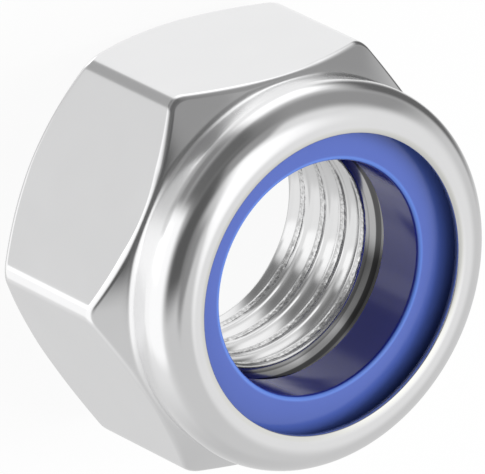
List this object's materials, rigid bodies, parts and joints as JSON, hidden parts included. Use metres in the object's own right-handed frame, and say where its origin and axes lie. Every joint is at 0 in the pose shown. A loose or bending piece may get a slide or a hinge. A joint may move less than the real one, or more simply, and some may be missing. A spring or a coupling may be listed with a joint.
{
  "type": "nylon insert lock nut",
  "caption": "Hexagon steel lock nut with chamfered corners and a round collar rolled over a blue nylon ring that grips the thread.",
  "frame": {"origin": "centre of the bearing face, on the thread's axis", "axes": "+Z along the thread's axis, from the bearing face towards the collar and nylon ring; +X normal to a flat of the hexagon"},
  "size_m": [0.024, 0.0274, 0.016],
  "materials": {
    "steel": "polished",
    "nylon": "gloss"
  },
  "bodies": {
    "root": {"nut_body": "steel", "nylon_ring": "nylon"}
  },
  "joints": []
}
